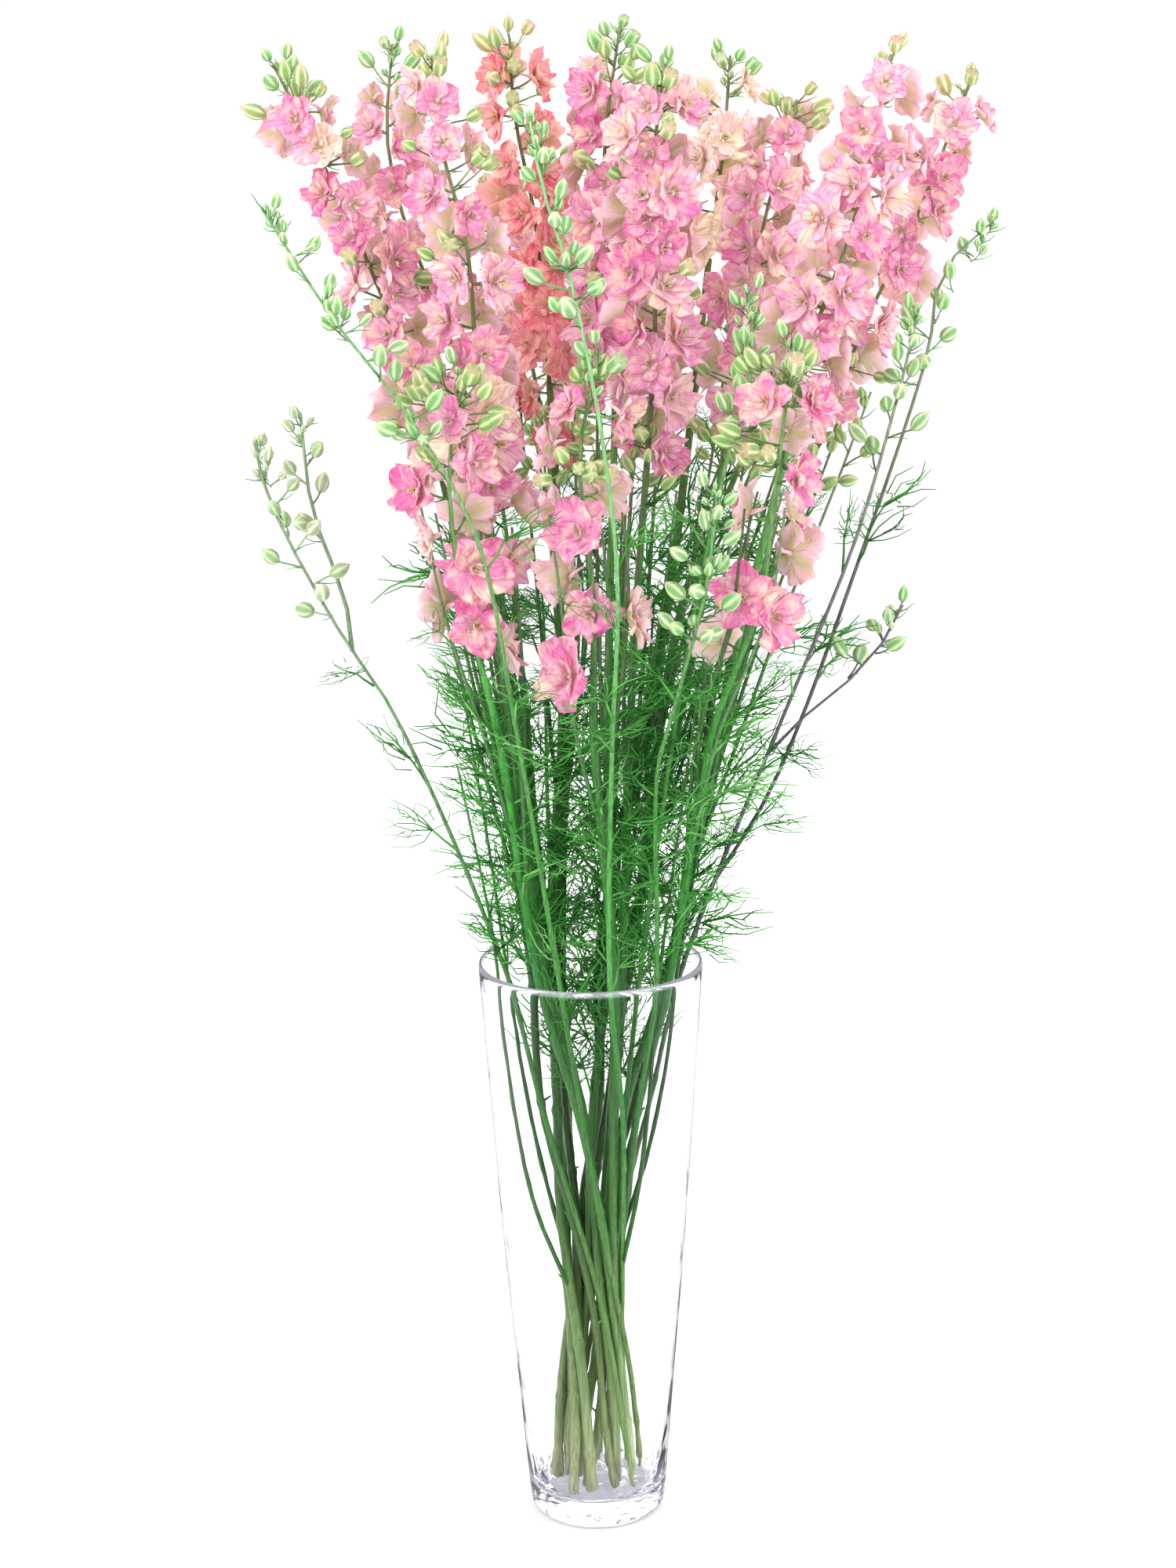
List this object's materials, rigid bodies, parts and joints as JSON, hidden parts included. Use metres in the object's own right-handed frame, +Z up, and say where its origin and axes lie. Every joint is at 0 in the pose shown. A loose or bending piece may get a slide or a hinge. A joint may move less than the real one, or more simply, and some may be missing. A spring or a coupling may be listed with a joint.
{
  "type": "delphinium stems in a glass vase",
  "caption": "Loose bunch of cut delphinium stems with ruffled pink florets, green bud sprays and feathery leaves, standing in a tall tapered clear glass vase.",
  "frame": {"origin": "centre of the vase's foot, on the surface that it stands on", "axes": "+Z up along the vase's axis, -Y towards the front of the bunch, +X to the right seen from the front"},
  "size_m": [0.4434, 0.372, 0.9412],
  "materials": {
    "glass": "clear polished glass",
    "green": "fresh stems and leaves, satin",
    "budgreen": "fresh buds, satin",
    "rose": "soft petals, matte",
    "coral": "soft petals, matte",
    "blush": "soft petals, matte"
  },
  "bodies": {
    "root": {"vase": "glass", "stem_01": "green", "flowers_01": "rose", "tip_01": "budgreen", "stem_02": "green", "flowers_02": "rose", "tip_02": "budgreen", "stem_03": "green", "flowers_03": "rose", "tip_03": "budgreen", "stem_04": "green", "flowers_04": "coral", "tip_04": "budgreen", "stem_05": "green", "flowers_05": "rose", "tip_05": "budgreen", "stem_06": "green", "flowers_06": "rose", "tip_06": "budgreen", "stem_07": "green", "flowers_07": "blush", "tip_07": "budgreen", "stem_08": "green", "flowers_08": "rose", "tip_08": "budgreen", "stem_09": "green", "flowers_09": "rose", "tip_09": "budgreen", "stem_10": "green", "flowers_10": "rose", "tip_10": "budgreen", "stem_11": "green", "flowers_11": "rose", "tip_11": "budgreen", "stem_12": "green", "flowers_12": "rose", "tip_12": "budgreen", "stem_13": "green", "flowers_13": "rose", "tip_13": "budgreen", "stem_14": "green", "flowers_14": "rose", "tip_14": "budgreen", "stem_15": "green", "flowers_15": "rose", "tip_15": "budgreen", "bud_stem_01": "budgreen", "bud_stem_02": "budgreen", "bud_stem_03": "budgreen", "bud_stem_04": "budgreen", "bud_stem_05": "budgreen", "bud_stem_06": "budgreen", "bud_stem_07": "budgreen"}
  },
  "joints": []
}
